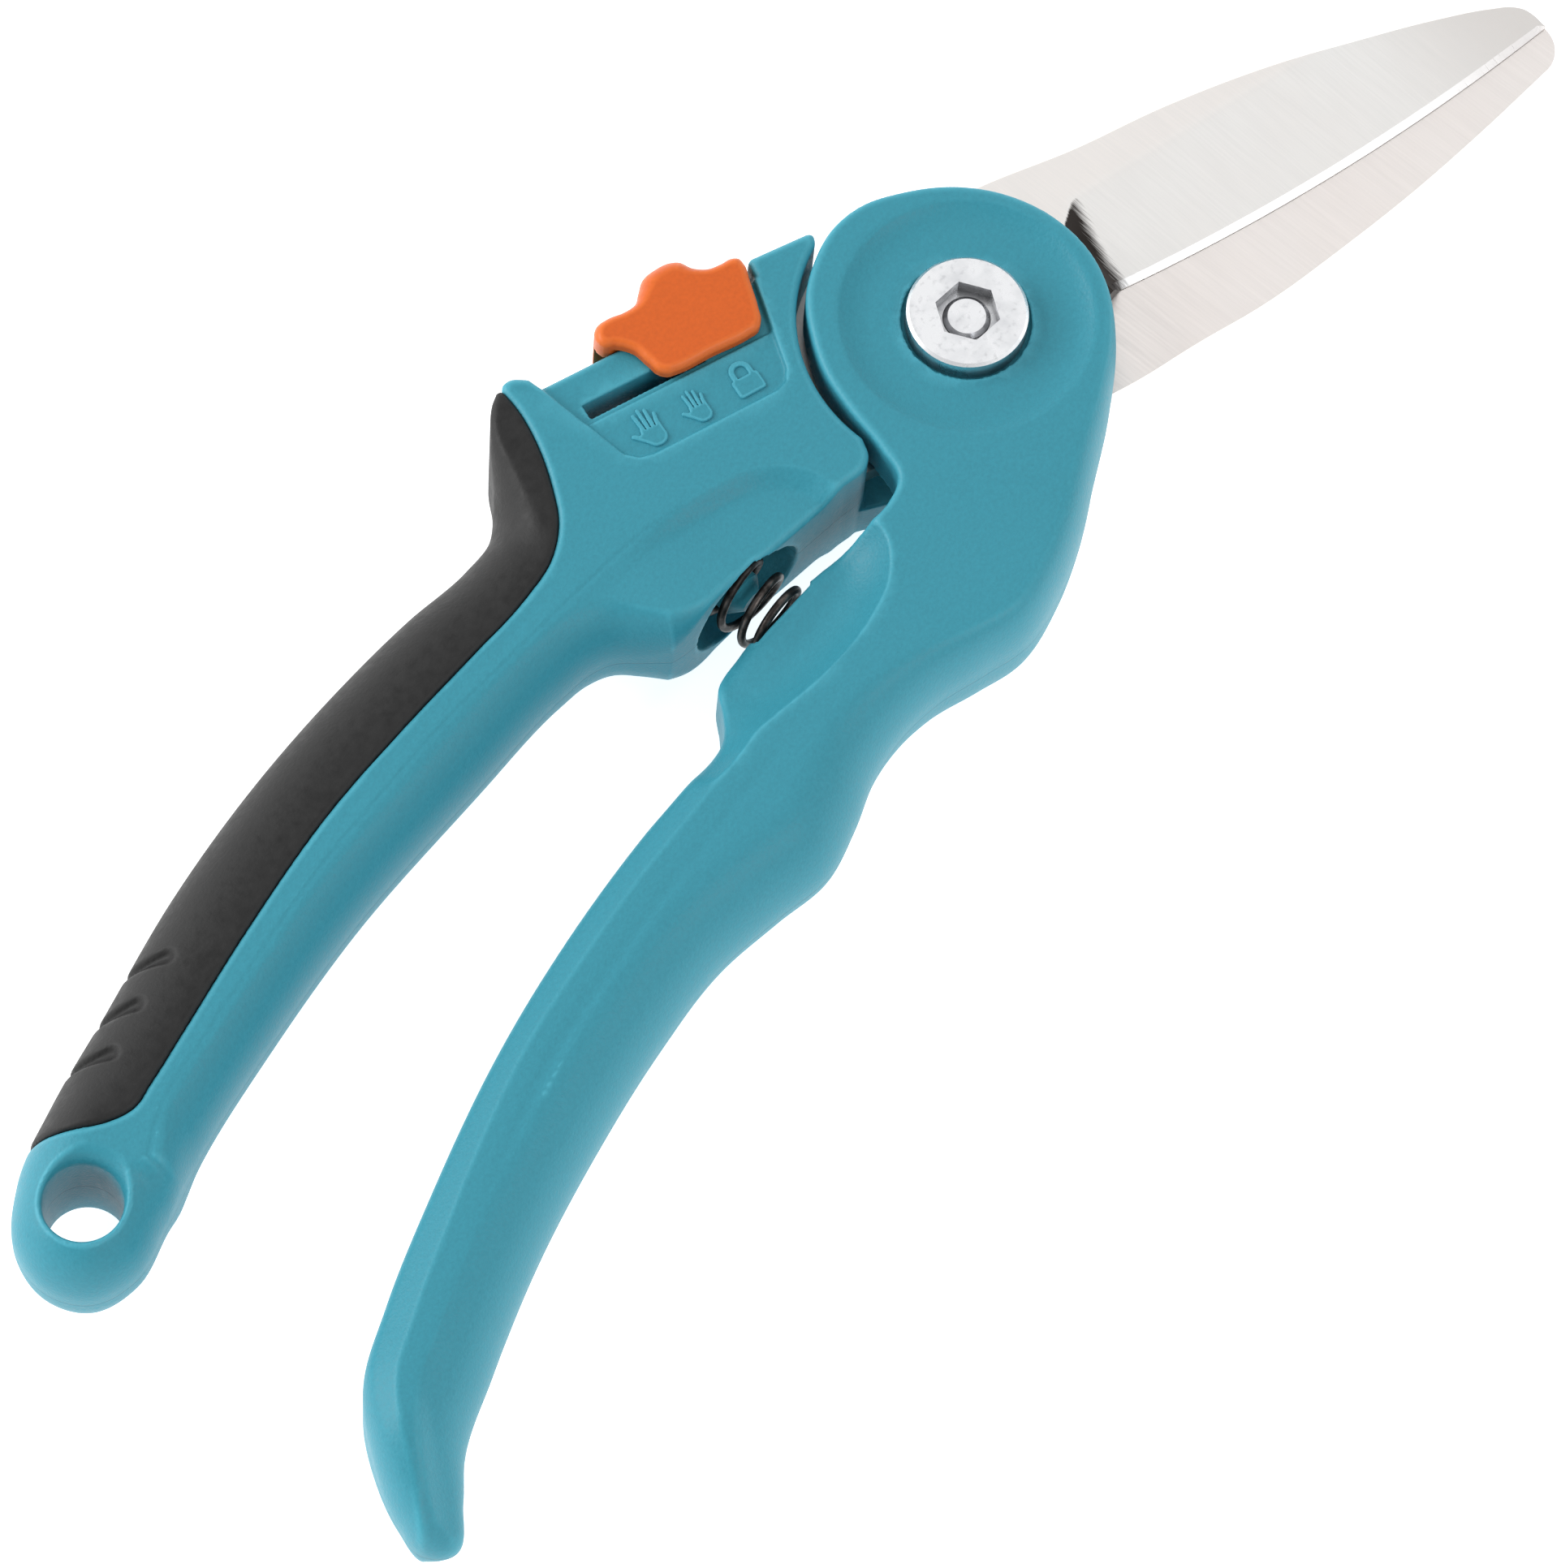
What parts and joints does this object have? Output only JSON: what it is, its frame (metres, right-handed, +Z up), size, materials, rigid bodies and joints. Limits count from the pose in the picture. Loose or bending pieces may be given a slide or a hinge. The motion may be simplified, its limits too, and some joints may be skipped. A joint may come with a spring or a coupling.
{
  "type": "bypass pruner",
  "caption": "Bypass pruner with curved two-tone handles, a soft grip, a coil handle spring, a bolted pivot, overlapping steel blades and a sliding thumb lock, closed and locked.",
  "frame": {"origin": "on the pivot axis, in the flat bottom face of the pivot bolt's head, which is the lowest point of the tool lying flat", "axes": "+X along the tool towards the blade tips, +Y towards the handle that carries the soft grip and the lock, +Z up along the pivot axis towards the nut"},
  "size_m": [0.2107, 0.077, 0.0184],
  "materials": {
    "handle_plastic": "fine-grained teal plastic, satin",
    "soft_rubber": "matt black soft grip",
    "slider_plastic": "satin orange plastic",
    "blade_steel": "ground, satin",
    "plated_steel": "bright plated",
    "spring_steel": "blackened",
    "bearing_plastic": "plain, natural"
  },
  "bodies": {
    "right_half": {"right_handle": "handle_plastic", "upper_blade": "blade_steel", "upper_blade_pins": "plated_steel", "pivot_bolt": "plated_steel", "pivot_nut": "plated_steel", "spring_washer": "spring_steel"},
    "left_half": {"left_handle": "handle_plastic", "soft_grip": "soft_rubber", "lower_blade": "blade_steel", "lower_blade_pins": "plated_steel", "pivot_bush": "bearing_plastic", "thrust_washer": "bearing_plastic", "spring_stud": "handle_plastic", "handle_spring": "spring_steel"},
    "lock": {"lock_slider": "slider_plastic", "latch_pin": "plated_steel", "latch_plate": "plated_steel"}
  },
  "joints": [
    {"name": "handle_hinge", "type": "hinge", "parent": "right_half", "child": "left_half", "pos_m": [0, 0, 0.009], "axis": [0, 0, -1], "range_deg": [0, 22], "deforming": ["handle_spring"]},
    {"name": "lock_slide", "type": "slide", "parent": "left_half", "child": "lock", "axis": [-0.9426, 0.3338, 0], "range_m": [0, 0.0075]}
  ]
}
